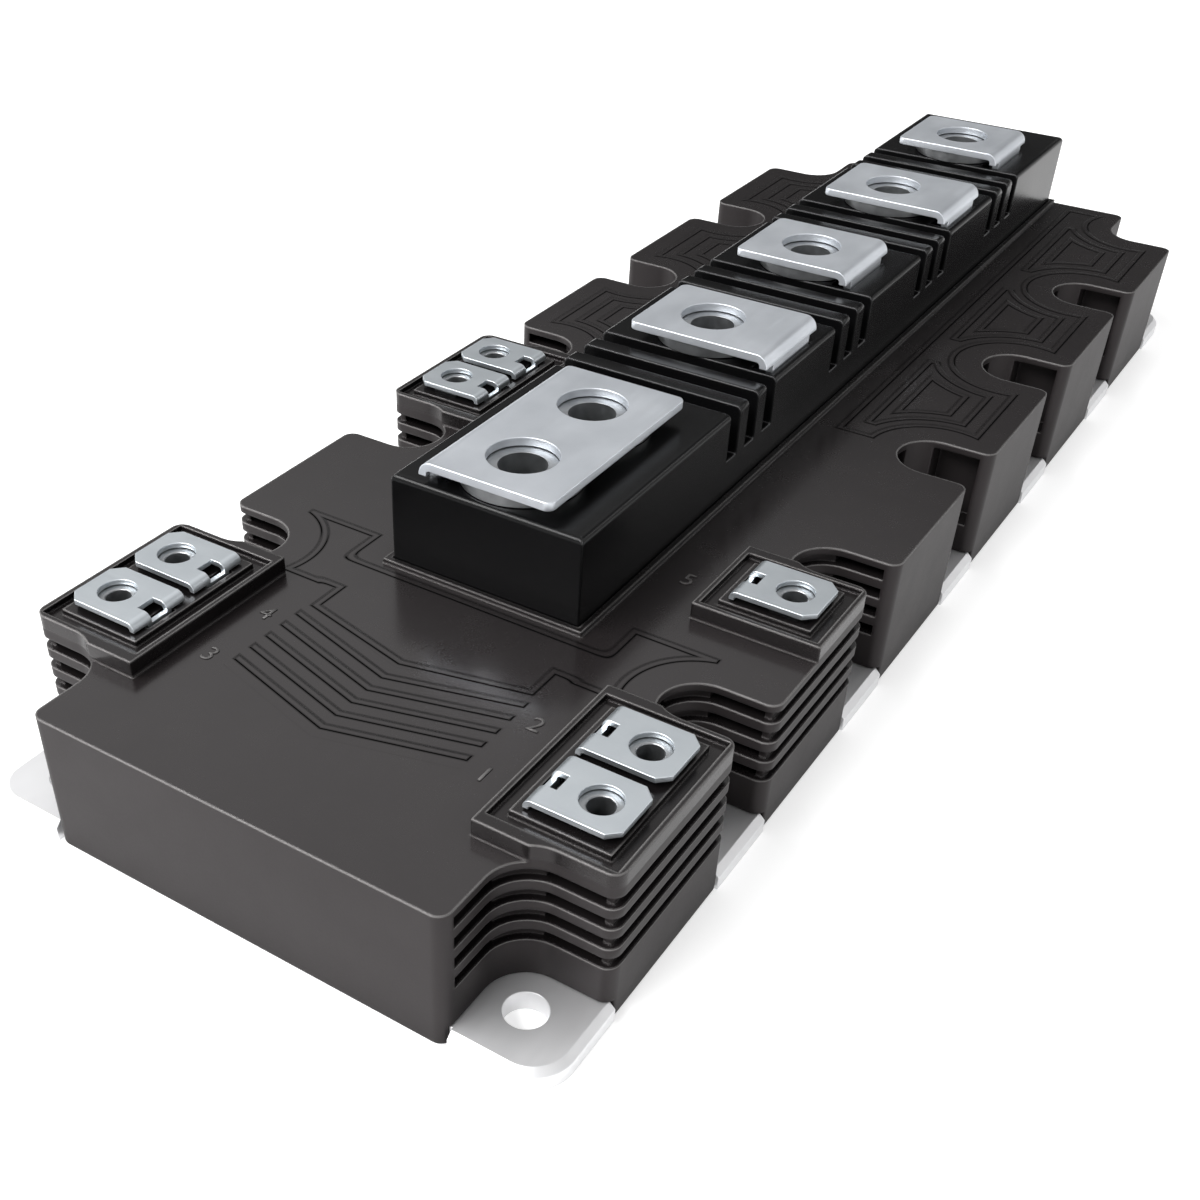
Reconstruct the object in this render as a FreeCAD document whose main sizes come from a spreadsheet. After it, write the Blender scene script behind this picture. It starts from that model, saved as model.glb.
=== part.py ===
# Half-bridge power module in the flat 250 x 89 x 38 mm package.
# The length runs along X, the height along Z, and the origin is the middle of the baseplate's
# underside. The end with the two-hole output terminal is at -X. Millimetres throughout.
import os
import re

import FreeCAD
import Part
import Sketcher

doc = FreeCAD.newDocument("power_module")

# Driving dimensions. Heights named *_level are measured from the underside of the baseplate.
DIMENSIONS = [
    ("length", 250.0, "overall length"),
    ("width", 89.0, "overall width"),
    ("hole_edge", 8.0, "mounting hole centre to plate edge"),
    ("hole_pitch", "=(length - 2 * hole_edge) / 6", "mounting hole pitch along the length"),
    ("hole_bore", 5.5, "mounting hole"),
    ("plate_thickness", 3.0, "baseplate"),
    ("plate_inset", 2.0, "plate side behind the housing skirt"),
    ("plate_corner", 5.5, "plate corner radius"),
    ("plate_bevel", 0.9, "bevel on the plate's upper edge"),
    ("lug_half", 6.6, "half width of a screw lug of the plate"),
    ("plate_setback", 1.2, "plate end behind the housing end"),
    ("side_gap", 0.3, "plate lug to housing side"),
    ("skirt_level", 0.5, "lower edge of the housing skirt"),
    ("deck_level", 21.0, "flat top of the housing"),
    ("rim_level", 23.4, "top of the raised terminal sockets"),
    ("notch_radius", 5.6, "screw notch"),
    ("corner_round", 1.8, "rounding of the housing's upright edges"),
    ("housing_wall", 2.2, "housing wall"),
    ("housing_roof", 2.6, "housing deck thickness"),
    ("seal_thickness", 0.2, "adhesive under the housing walls"),
    ("fit", 0.15, "clearance between pieces that slide together"),
    ("groove_depth", 1.0, "creepage groove"),
    ("groove_height", 1.65, "creepage groove"),
    ("groove_pitch", 3.15, "creepage groove"),
    ("groove_level", 19.9, "top of the highest creepage groove"),
    ("pocket_depth", 4.0, "pockets in the flat walls of a notch"),
    ("pocket_start", 1.8, "start of those pockets inboard of the hole centre"),
    ("apex_half", 2.2, "half width of the pocket at the back of a notch"),
    ("apex_depth", 0.8, "depth of that pocket behind the groove"),
    ("window_level", 8.0, "lower edge of the tall pockets"),
    ("socket_depth", 18.4, "raised socket, measured across the module"),
    ("socket_single", 16.2, "length of the single socket"),
    ("socket_rim", 0.8, "thin rim round a socket"),
    ("socket_moat", 1.8, "channel between rim and pad"),
    ("socket_drop", 0.8, "depth of that channel"),
    ("aux_inset", 7.6, "control terminal holes to the module side"),
    ("aux_row", "=width / 2 - aux_inset", "control terminal holes from the centre line"),
    ("aux_pitch", 11.2, "spacing of the two terminals in a socket"),
    ("aux_level", 25.0, "top of the control terminals"),
    ("aux_sheet", 0.8, "control terminal strip"),
    ("aux_width", 9.5, "control terminal strip"),
    ("aux_reach", 4.6, "hole to free end"),
    ("aux_heel", 7.4, "hole to bend"),
    ("aux_leg", 4.4, "width of the leg"),
    ("aux_foot", 5.0, "length of the soldered foot"),
    ("aux_bore", 5.2, "hole in a control terminal"),
    ("aux_chamfer", 1.5, "corners of the free end"),
    ("small_nut_flats", 7.0, "M4 nut across flats"),
    ("small_nut_height", 3.2, "M4 nut"),
    ("small_nut_bore", 3.3, "M4 core hole"),
    ("block_front", 53.1, "module end to the front of the raised block"),
    ("block_rear", 1.4, "module end to the rear of the raised block"),
    ("block_start", "=length / 2 - block_front", "front of the raised block, from the centre"),
    ("block_finish", "=length / 2 - block_rear", "rear of the raised block, from the centre"),
    ("block_half", 15.1, "half width of the raised block"),
    ("block_level", 34.8, "top of the raised block"),
    ("block_wall", 1.25, "side wall of the raised block"),
    ("block_roof_level", 25.0, "underside of the solid part of the block"),
    ("block_edge", 0.9, "rounding of the block's upper edges"),
    ("rib_thickness", 2.94, "rib and slot of the creepage ribs"),
    ("rib_depth", 7.5, "slot between two ribs"),
    ("collar_width", 0.9, "raised collar of the deck round the block"),
    ("collar_height", 0.7, "raised collar of the deck round the block"),
    ("power_level", 38.0, "top of the power terminals"),
    ("bar_sheet", 1.3, "power terminal copper"),
    ("bar_corner", 1.2, "free corners of a power terminal"),
    ("bar_bore", 10.0, "hole in a power terminal"),
    ("bar_length", 18.0, "power terminal along the module"),
    ("bar_inner", 10.0, "centre line to the free edge of a power terminal"),
    ("riser_width", 13.0, "upright part of a power terminal"),
    ("ac_end", 62.5, "module end to the first output hole"),
    ("ac_first", "=length / 2 - ac_end", "first output hole, from the centre"),
    ("ac_pitch", 18.0, "output hole spacing"),
    ("dc_first", 7.7, "first supply hole, from the centre"),
    ("dc_rear", 22.6, "last supply hole to the module end"),
    ("dc_pitch", "=(length / 2 + dc_first - dc_rear) / 3", "supply hole spacing"),
    ("ac_line", 10.7, "outer face of the output riser from the centre line"),
    ("plus_line", 10.5, "outer face of the positive riser from the centre line"),
    ("minus_line", "=block_half - block_wall - fit", "outer face of the negative riser"),
    ("rail_front", 13.0, "module end to the front end of the buried rails"),
    ("rail_rear", 14.0, "module end to the rear end of the buried rails"),
    ("rail_start", "=length / 2 - rail_front", "front end of the buried rails, from the centre"),
    ("rail_finish", "=length / 2 - rail_rear", "rear end of the buried rails, from the centre"),
    ("rail_level", 8.5, "lower edge of the buried rails"),
    ("rail_height", 8.0, "height of the buried rails"),
    ("rail_foot", 5.0, "width of a rail foot"),
    ("foot_length", 2.0, "soldered length of a rail foot"),
    ("bend_outside", 2.0, "outer radius of a bend in the power copper"),
    ("bend_inside", 0.5, "inner radius of a bend in the power copper"),
    ("large_nut_flats", 13.0, "M8 flange nut across flats"),
    ("large_nut_height", 8.0, "M8 flange nut"),
    ("flange_radius", 8.6, "flange of the M8 nut"),
    ("large_nut_bore", 6.8, "M8 core hole"),
    ("nut_sink", 0.1, "play of a nut over and under its flange"),
    ("tile_gap", 1.5, "gap between two ceramic tiles"),
    ("tile_room", 0.7, "ceramic tile to the wall of the well"),
    ("tile_length", "=hole_pitch - tile_gap", "ceramic tile along the module"),
    ("tile_width", "=width - 2 * (hole_edge + notch_radius + groove_depth + housing_wall + tile_room)",
     "ceramic tile across the module"),
    ("tile_thickness", 0.6, "ceramic"),
    ("copper_thickness", 0.3, "copper on either side of the ceramic"),
    ("copper_margin", 0.8, "bare ceramic round the copper"),
    ("pad_room", 4.2, "strip of a tile outboard of the wide tracks"),
    ("track_half", "=tile_width / 2 - pad_room", "half length of the wide tracks"),
    ("track_wide", "=0.37 * tile_length", "width of a chip track"),
    ("track_narrow", "=tile_length - 2 * track_wide - 5 * copper_margin", "width of the emitter track"),
    ("chip_thickness", 0.25, "silicon"),
    ("igbt_side", "=0.44 * track_half", "switch chip"),
    ("diode_side", "=0.29 * track_half", "diode chip"),
    ("wire_side", 0.5, "bond wire"),
    ("wire_rise", 2.2, "height of a bond wire loop over the track"),
    ("wire_foot", 1.0, "flattened end of a bond wire"),
    ("sensor_length", 6.2, "temperature sensor"),
    ("sensor_width", 1.6, "temperature sensor"),
    ("sensor_height", 1.3, "temperature sensor"),
    ("sensor_cap", 1.4, "metal end cap of the sensor"),
]
ALIASES = {name for name, value, note in DIMENSIONS}

sheet = doc.addObject("Spreadsheet::Sheet", "Sizes")
for row, (name, value, note) in enumerate(DIMENSIONS, start=1):
    sheet.set("A%d" % row, note)
    sheet.set("B%d" % row, str(value))
    sheet.setAlias("B%d" % row, name)
doc.recompute()


def sized(text):
    """Point every dimension name in a formula at the spreadsheet."""
    return re.sub(r"[a-z_]+", lambda m: "Sizes." + m.group() if m.group() in ALIASES else m.group(), text)


def slab(name, x_range, y_range, z_range):
    """Rectangular block between two formulas on each axis."""
    obj = doc.addObject("Part::Box", name)
    for side, axis, (low, high) in zip(("Length", "Width", "Height"), "xyz", (x_range, y_range, z_range)):
        obj.setExpression(side, sized("(%s) - (%s)" % (high, low)))
        obj.setExpression("Placement.Base." + axis, sized(low))
    return obj


def rod(name, x, y, z_range, radius):
    """Upright cylinder."""
    obj = doc.addObject("Part::Cylinder", name)
    obj.setExpression("Radius", sized(radius))
    obj.setExpression("Height", sized("(%s) - (%s)" % (z_range[1], z_range[0])))
    obj.setExpression("Placement.Base.x", sized(x))
    obj.setExpression("Placement.Base.y", sized(y))
    obj.setExpression("Placement.Base.z", sized(z_range[0]))
    return obj


def hexagon(name, x, y, z_range, flats):
    """Upright hexagonal prism with two flats facing along the module."""
    obj = doc.addObject("Part::Prism", name)
    obj.Polygon = 6
    obj.Placement.Rotation = FreeCAD.Rotation(FreeCAD.Vector(0, 0, 1), 30)
    obj.setExpression("Circumradius", sized("(%s) / sqrt(3)" % flats))
    obj.setExpression("Height", sized("(%s) - (%s)" % (z_range[1], z_range[0])))
    obj.setExpression("Placement.Base.x", sized(x))
    obj.setExpression("Placement.Base.y", sized(y))
    obj.setExpression("Placement.Base.z", sized(z_range[0]))
    return obj


def fuse(name, pieces):
    obj = doc.addObject("Part::MultiFuse", name)
    obj.Shapes = pieces
    obj.Refine = True
    return obj


def cut(name, base, tool):
    obj = doc.addObject("Part::Cut", name)
    obj.Base = base
    obj.Tool = tool
    obj.Refine = True
    return obj


def common(name, pieces):
    obj = doc.addObject("Part::MultiCommon", name)
    obj.Shapes = pieces
    return obj


def group(name, pieces):
    """Separate solids that make one named sub-part."""
    obj = doc.addObject("Part::Compound", name)
    obj.Links = pieces
    return obj


def outline_body(name, plane, points, start, depth):
    """Body padded from a closed outline whose corners are formulas in the sketch plane."""
    body = doc.addObject("PartDesign::Body", name)
    sketch = body.newObject("Sketcher::SketchObject", name + "_outline")
    support = [face for face in body.Origin.OriginFeatures if face.Role == plane][0]
    sketch.AttachmentSupport = [(support, "")]
    sketch.MapMode = "FlatFace"
    sketch.setExpression("AttachmentOffset.Base.z", sized(start))
    count = len(points)
    places = [FreeCAD.Vector(index, index * index, 0) for index in range(1, count + 1)]
    for index in range(count):
        sketch.addGeometry(Part.LineSegment(places[index], places[(index + 1) % count]), False)
    for index in range(count):
        sketch.addConstraint(Sketcher.Constraint("Coincident", index, 2, (index + 1) % count, 1))
    for index, pair in enumerate(points):
        for kind, axis, formula in (("DistanceX", -2, pair[0]), ("DistanceY", -1, pair[1])):
            if formula == "0":
                sketch.addConstraint(Sketcher.Constraint("PointOnObject", index, 1, axis))
            else:
                number = sketch.addConstraint(Sketcher.Constraint(kind, -1, 1, index, 1, 1.0))
                sketch.setExpression("Constraints[%d]" % number, sized(formula))
    pad = body.newObject("PartDesign::Pad", name + "_pad")
    pad.Profile = sketch
    pad.setExpression("Length", sized(depth))
    doc.recompute()
    return body, sketch, pad


def round_bends(body, sketch, feature, corners, radius):
    """Round the pad edges that start at the given outline corners."""
    names = []
    for corner in corners:
        point = sketch.Placement.multVec(sketch.Geometry[corner].StartPoint)
        for number, edge in enumerate(feature.Shape.Edges, start=1):
            ends = [vertex.Point for vertex in edge.Vertexes]
            if len(ends) == 2 and min((end - point).Length for end in ends) < 1e-4:
                if abs((ends[1] - ends[0]).normalize().x) > 0.99:
                    names.append("Edge%d" % number)
    fillet = body.newObject("PartDesign::Fillet", feature.Name + "_bend")
    fillet.Base = (feature, names)
    fillet.setExpression("Radius", sized(radius))
    doc.recompute()
    return fillet


def upright_edges(shape, wanted):
    """Numbers of the vertical straight edges at places that pass the test."""
    numbers = []
    for number, edge in enumerate(shape.Edges, start=1):
        ends = [vertex.Point for vertex in edge.Vertexes]
        if len(ends) == 2 and (ends[0] - ends[1]).cross(FreeCAD.Vector(0, 0, 1)).Length < 1e-6:
            if wanted(ends[0]):
                numbers.append(number)
    return numbers


def dress(kind, name, base, numbers, size):
    """Fillet or chamfer of a boolean result."""
    obj = doc.addObject(kind, name)
    obj.Base = base
    obj.Edges = [(number, size, size) for number in numbers]
    doc.recompute()
    return obj


def value(name):
    return float(sheet.get(name))


sub_parts = []


def publish(obj, label):
    obj.Label = label
    sub_parts.append(obj)


HOLES_ALONG = 7
SIDES = ((-1, "right"), (1, "left"))
hole_x = ["hole_edge - length / 2 + %d * hole_pitch" % i for i in range(HOLES_ALONG)]
hole_y = "(width / 2 - hole_edge)"

# Baseplate. Pressed copper, nickel plated. Its sides and ends run behind the housing skirt. A lug
# comes out to the full width at every screw notch, and to the full length at the four corners.
plate_end = "(length / 2 - plate_setback)"
notch_wall = "(%s - notch_radius)" % hole_y
bodies = [slab("plate_core", ("-" + plate_end, plate_end),
               ("plate_inset - width / 2", "width / 2 - plate_inset"), ("0", "plate_thickness"))]
for i in range(HOLES_ALONG):
    start = "-" + plate_end if i == 0 else hole_x[i] + " - lug_half"
    finish = plate_end if i == HOLES_ALONG - 1 else hole_x[i] + " + lug_half"
    bodies.append(slab("plate_lug_%d" % i, (start, finish), ("-width / 2", "width / 2"),
                       ("0", "plate_thickness")))
for sign, side in SIDES:
    low = notch_wall + " + fit" if sign > 0 else "-width / 2"
    high = "width / 2" if sign > 0 else "-%s - fit" % notch_wall
    for end, start, finish in (("front", "-length / 2", hole_x[0]), ("rear", hole_x[-1], "length / 2")):
        bodies.append(slab("plate_corner_%s_%s" % (side, end), (start, finish), (low, high),
                           ("0", "plate_thickness")))
plate_blank = fuse("plate_blank", bodies)
doc.recompute()
half_length = value("length") / 2
half_width = value("width") / 2
corners = upright_edges(plate_blank.Shape, lambda p: abs(abs(p.x) - half_length) < 1e-3
                        and abs(abs(p.y) - half_width) < 1e-3)
plate_round = dress("Part::Fillet", "plate_round", plate_blank, corners, value("plate_corner"))


def on_plate_rim(edge):
    """Upper outer edges at the ends, round the corners and along the lugs."""
    box = edge.BoundBox
    if box.ZMin < value("plate_thickness") - 1e-3:
        return False
    at_end = max(abs(box.XMin), abs(box.XMax)) > half_length - 1e-3
    at_side = max(abs(box.YMin), abs(box.YMax)) > half_width - 1e-3
    return (at_end and box.YLength > 1e-3) or (at_side and box.XLength > 1e-3)


rim_edges = [n for n, edge in enumerate(plate_round.Shape.Edges, start=1) if on_plate_rim(edge)]
plate_bevelled = dress("Part::Chamfer", "plate_bevelled", plate_round, rim_edges, value("plate_bevel"))
bores = []
for i, x in enumerate(hole_x):
    for sign, side in SIDES:
        bores.append(rod("plate_bore_%s_%d" % (side, i), x, "%d * %s" % (sign, hole_y),
                         ("-1", "plate_thickness + 1"), "hole_bore / 2"))
publish(cut("baseplate", plate_bevelled, fuse("plate_bores", bores)), "baseplate")

# Housing. One glass-filled moulding: a deck on walls, scalloped round the screws, with raised
# sockets for the control terminals. The outline is cut from a block that reaches the sockets' rim.
housing_x = "(length / 2)"
housing_y = "(width / 2 - side_gap)"


def scallops(prefix, grow):
    """Notch shapes round every screw, each larger than the screw notch by a set amount."""
    shapes = []
    radius = "(notch_radius + %s)" % grow
    for i, x in enumerate(hole_x):
        for sign, side in SIDES:
            name = "%s_%s_%d" % (prefix, side, i)
            outer = ("%s" % hole_y, "width") if sign > 0 else ("-width", "-%s" % hole_y)
            shapes.append(rod(name + "_arc", x, "%d * %s" % (sign, hole_y), ("-1", "power_level"), radius))
            shapes.append(slab(name + "_slot", ("%s - %s" % (x, radius), "%s + %s" % (x, radius)),
                               outer, ("-1", "power_level")))
            if i in (0, HOLES_ALONG - 1):
                wall = "(%s - %s)" % (hole_y, radius)
                beyond = (wall, "width") if sign > 0 else ("-width", "-" + wall)
                run = ("-length", x) if i == 0 else (x, "length")
                shapes.append(slab(name + "_open", run, beyond, ("-1", "power_level")))
    return fuse(prefix, shapes)


housing_blank = slab("housing_blank", ("-" + housing_x, housing_x), ("-" + housing_y, housing_y),
                     ("skirt_level", "rim_level"))
housing_outline = cut("housing_outline", housing_blank, scallops("notch", "0"))
doc.recompute()
edge_x = value("length") / 2
edge_y = value("width") / 2 - value("side_gap")
outer_edges = upright_edges(housing_outline.Shape, lambda p: abs(abs(p.x) - edge_x) < 1e-3
                            or abs(abs(p.y) - edge_y) < 1e-3)
housing_rounded = dress("Part::Fillet", "housing_rounded", housing_outline, outer_edges,
                        value("corner_round"))

# Sockets: (side sign, gap number between two notches, single socket at the rear of its gap).
SOCKETS = ((-1, 0, False), (1, 0, False), (-1, 1, True), (1, 2, False))


def socket_span(gap, single):
    finish = "(%s - notch_radius)" % hole_x[gap + 1]
    start = "(%s - socket_single)" % finish if single else "(%s + notch_radius)" % hole_x[gap]
    return start, finish


def socket_across(sign, inset, reach):
    """Range across the module, inset from the socket's inner edge and from the housing side."""
    inner = "(%s - socket_depth + %s)" % (housing_y, inset)
    outer = "(%s - %s)" % (housing_y, reach)
    return (inner, outer) if sign > 0 else ("-" + outer, "-" + inner)


kept = []
moats = []
for index, (sign, gap, single) in enumerate(SOCKETS):
    start, finish = socket_span(gap, single)
    kept.append(slab("socket_%d" % index, (start + " - 1" if not single else start, finish + " + 1"),
                     socket_across(sign, "0", "-1"), ("deck_level", "rim_level + 1")))
    channel = slab("moat_%d" % index, (start + " + socket_rim", finish + " - socket_rim"),
                   socket_across(sign, "socket_rim", "socket_rim"),
                   ("rim_level - socket_drop", "rim_level + 1"))
    pad = slab("socket_pad_%d" % index,
               (start + " + socket_rim + socket_moat", finish + " - socket_rim - socket_moat"),
               socket_across(sign, "socket_rim + socket_moat", "(socket_rim + socket_moat)"),
               ("deck_level", "rim_level + 2"))
    moats.append(cut("moat_ring_%d" % index, channel, pad))
collar_zone = ("deck_level", "deck_level + collar_height")
kept.append(cut("collar", slab("collar_outside", ("-block_start - fit - collar_width",
                                                  "block_finish + fit + collar_width"),
                               ("-block_half - fit - collar_width", "block_half + fit + collar_width"),
                               collar_zone),
                slab("collar_inside", ("-block_start - fit", "block_finish + fit"),
                     ("-block_half - fit", "block_half + fit"), collar_zone)))
deck_clear = cut("deck_clear", slab("deck_space", ("-length", "length"), ("-width", "width"),
                                    ("deck_level", "rim_level + 1")), fuse("sockets", kept))

# Creepage grooves run round the notches and along the sides between them, four deep, on the
# control terminal end of both sides.
inset_block = slab("inset_block", ("-length", "length"),
                   ("groove_depth - " + housing_y, housing_y + " - groove_depth"),
                   ("-2", "power_level + 1"))
inset_outline = cut("inset_outline", inset_block, scallops("deep_notch", "groove_depth"))
groove_zones = []
for level in range(4):
    top = "(groove_level - %d * groove_pitch)" % level
    groove_zones.append((top + " - groove_height", top))
bands = []
GROOVED_NOTCHES = {-1: 3, 1: 4}
for sign, side in SIDES:
    last = hole_x[GROOVED_NOTCHES[sign] - 1]
    root = "(%s - notch_radius - 2 * groove_depth)" % hole_y
    for level, zone in enumerate(groove_zones):
        full = (root, "width") if sign > 0 else ("-width", "-" + root)
        short_edge = "(%s - 2 * groove_depth)" % housing_y
        short = (root, short_edge) if sign > 0 else ("-" + short_edge, "-" + root)
        bands.append(slab("band_%s_%d" % (side, level), ("2 * groove_depth - length / 2", last),
                          full, zone))
        bands.append(slab("band_end_%s_%d" % (side, level),
                          (last, last + " + notch_radius + groove_depth"), short, zone))
grooves = cut("grooves", fuse("bands", bands), inset_outline)

# Pockets behind the grooves: one at the back of the notch and one in each flat wall, with a pillar
# between them. On the -Y side the notches further along have the same pockets in one tall piece.
pockets = []
for sign, side in SIDES:
    flat = ("(%s - pocket_start)" % hole_y, "(%s - 2 * groove_depth)" % housing_y)
    apex = ("(%s - groove_depth - apex_depth)" % notch_wall, hole_y)
    reach = "(notch_radius + pocket_depth)"
    for i in range(HOLES_ALONG - 1):
        zones = groove_zones if i < GROOVED_NOTCHES[sign] else [("window_level", "groove_level")]
        if i >= GROOVED_NOTCHES[sign] and sign > 0:
            continue
        for level, zone in enumerate(zones):
            for tag, half, (low, high) in (("flat", reach, flat), ("apex", "apex_half", apex)):
                across = (low, high) if sign > 0 else ("-" + high, "-" + low)
                pockets.append(slab("pocket_%s_%s_%d_%d" % (tag, side, i, level),
                                    ("%s - %s" % (hole_x[i], half), "%s + %s" % (hole_x[i], half)),
                                    across, zone))

# Hollow underside: one well over the tiles and a core in each gap between two notches.
well_y = "(%s - groove_depth - housing_wall)" % notch_wall
well_x = "(%s - housing_wall)" % plate_end
well = slab("well", ("-" + well_x, well_x), ("-" + well_y, well_y), ("-1", "deck_level - housing_roof"))
cores = [well]
socket_gaps = {(sign, gap) for sign, gap, single in SOCKETS}
for sign, side in SIDES:
    for gap in range(HOLES_ALONG - 1):
        inner = "(%s + housing_wall)" % well_y
        outer = "(%s - groove_depth - housing_wall)" % housing_y
        across = (inner, outer) if sign > 0 else ("-" + outer, "-" + inner)
        reach = "notch_radius + pocket_depth + housing_wall"
        under_socket = (sign, gap) in socket_gaps
        ceiling = "window_level - housing_wall" if under_socket else "deck_level - housing_roof"
        cores.append(slab("core_%s_%d" % (side, gap),
                          ("%s + %s" % (hole_x[gap], reach), "%s - (%s)" % (hole_x[gap + 1], reach)),
                          across, ("-1", ceiling)))

# Seat for the plate: its own outline with clearance.
seat_level = "(plate_thickness + seal_thickness)"
seat_x = "(%s + fit)" % plate_end
seat_y = "(width / 2 - plate_inset + fit)"
seats = [slab("seat", ("-" + seat_x, seat_x), ("-" + seat_y, seat_y), ("-1", seat_level))]
for i, x in enumerate(hole_x):
    start = "-" + seat_x if i == 0 else x + " - lug_half - fit"
    finish = seat_x if i == HOLES_ALONG - 1 else x + " + lug_half + fit"
    seats.append(slab("lug_seat_%d" % i, (start, finish), ("-width", "width"), ("-1", seat_level)))

# Window under the raised block for the power copper.
window = slab("window", ("block_wall - block_start", well_x),
              ("block_wall - block_half", "block_half - block_wall"),
              ("deck_level - housing_roof - 1", "deck_level + 1"))

# Nut pockets and leg shafts of the control terminals.
socket_seats = []
aux_places = []
for sign, gap, single in SOCKETS:
    middle = "(%s + hole_pitch / 2)" % hole_x[gap]
    offsets = ("+ aux_pitch / 2",) if single else ("- aux_pitch / 2", "+ aux_pitch / 2")
    for offset in offsets:
        aux_places.append((sign, "(%s %s)" % (middle, offset)))
nut_top = "(aux_level - aux_sheet - nut_sink)"
for number, (sign, x) in enumerate(aux_places, start=1):
    y = "%d * aux_row" % sign
    socket_seats.append(hexagon("nut_seat_%d" % number, x, y,
                                (nut_top + " - small_nut_height", "rim_level + 1"),
                                "small_nut_flats + 2 * fit"))
    socket_seats.append(hexagon("screw_room_%d" % number, x, y,
                                (nut_top + " - 2.5 * small_nut_height", "rim_level"),
                                "small_nut_bore + 8 * fit"))
    run = (x + " - aux_leg / 2 - 2 * fit", x + " + aux_leg / 2 + 2 * fit")
    outer = "(aux_row - aux_heel + aux_sheet + 4 * fit)"
    lower = ("(%s - housing_wall)" % well_y, ("0", "deck_level - housing_roof"))
    upper = ("(aux_row - aux_heel - 2 * fit)", ("window_level", "rim_level + 1"))
    for tag, (inner, zone) in (("lower", lower), ("upper", upper)):
        across = (inner, outer) if sign > 0 else ("-" + outer, "-" + inner)
        socket_seats.append(slab("leg_shaft_%s_%d" % (tag, number), run, across, zone))

housing = cut("housing_trimmed", housing_rounded, fuse("housing_outside", [deck_clear, grooves] + pockets))
housing = cut("housing_hollow", housing, fuse("housing_inside", cores + seats + [window] + socket_seats))
publish(cut("housing", housing, fuse("housing_moats", moats)), "housing")

# Adhesive bead that bonds the wall of the well to the plate.
bead_x = "(%s - fit)" % plate_end
bead_y = "(%s + housing_wall)" % well_y
bead = slab("bead", ("-" + bead_x, bead_x), ("-" + bead_y, bead_y), ("plate_thickness", seat_level))
publish(cut("edge_seal", bead, slab("bead_room", ("-" + well_x, well_x), ("-" + well_y, well_y),
                                    ("0", "deck_level"))), "edge_seal")

# Raised block. A second, darker moulding that guides the power copper and holds the M8 nuts.
# Slots between the terminals lengthen the creepage path, over the top and down both sides.
block_x = ("-block_start", "block_finish")
block_blank = slab("block_blank", block_x, ("-block_half", "block_half"), ("deck_level", "block_level"))
doc.recompute()
roof = value("block_level")
upper_edges = [n for n, edge in enumerate(block_blank.Shape.Edges, start=1)
               if edge.BoundBox.ZMin > roof - 1e-3]
block_round = dress("Part::Fillet", "block_round", block_blank, upper_edges, value("block_edge"))
ac_holes = ["(ac_pitch - ac_first)", "(-ac_first)"][::-1]
dc_holes = ["(dc_pitch * %d - dc_first)" % i for i in range(4)]
power_holes = ac_holes + dc_holes

slots = []
for i, x in enumerate(dc_holes):
    start = "(%s - bar_length / 2 + 1 - 5 * rib_thickness)" % x
    for step in (0, 2, 4):
        slots.append(slab("rib_slot_%d_%d" % (i, step),
                          ("%s + %d * rib_thickness" % (start, step),
                           "%s + %d * rib_thickness" % (start, step + 1)),
                          ("-width", "width"), ("block_level - rib_depth", "block_level + 1")))
inner_x = ("2 * block_wall - block_start", "block_finish - 2 * block_wall")
block_room = slab("block_room", inner_x, ("block_wall - block_half", "block_half - block_wall"),
                  ("0", "block_roof_level"))

under_bar = "(power_level - bar_sheet)"
large_nut_top = "(%s - nut_sink)" % under_bar
large_nut_base = "(%s - large_nut_height)" % large_nut_top
nut_seats = []
for i, x in enumerate(power_holes):
    nut_seats.append(hexagon("power_nut_seat_%d" % i, x, "0",
                             (large_nut_base + " - nut_sink", "power_level"), "large_nut_flats + 2 * fit"))
    nut_seats.append(hexagon("bolt_room_%d" % i, x, "0", ("block_roof_level - 1", "power_level"),
                             "large_nut_bore + 8 * fit"))


def riser_slot(name, low, high, outer_face, sign):
    outer = "(%s + fit)" % outer_face
    inner = "(%s - bar_sheet - bend_outside)" % outer_face
    across = (inner, outer) if sign > 0 else ("-" + outer, "-" + inner)
    return slab(name, (low + " - fit", high + " + fit"), across, ("block_roof_level - 1", "power_level"))


ac_middle = "(ac_pitch / 2 - ac_first)"
ac_reach = "(ac_pitch / 2 + riser_width / 2)"
nut_seats.append(riser_slot("ac_riser_slot", "%s - %s" % (ac_middle, ac_reach),
                            "%s + %s" % (ac_middle, ac_reach), "ac_line", 1))
for i, x in enumerate(dc_holes):
    face = "minus_line" if i % 2 == 0 else "plus_line"
    nut_seats.append(riser_slot("dc_riser_slot_%d" % i, x + " - riser_width / 2", x + " + riser_width / 2",
                                face, -1))
block_body = cut("block_ribbed", block_round, fuse("rib_slots", slots))
publish(cut("terminal_block", block_body, fuse("block_inside", [block_room] + nut_seats)),
        "terminal_block")

# Power copper. Each of the three rails is one stamping: an upright strip buried over the tiles,
# feet soldered to the tiles, risers through the block, and terminals bent flat over the nuts.
rail_x = ("-rail_start", "rail_finish")
track_level = "(plate_thickness + 2 * copper_thickness + tile_thickness)"
tile_x = ["(%s + hole_pitch / 2)" % hole_x[i] for i in range(HOLES_ALONG - 1)]


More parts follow.
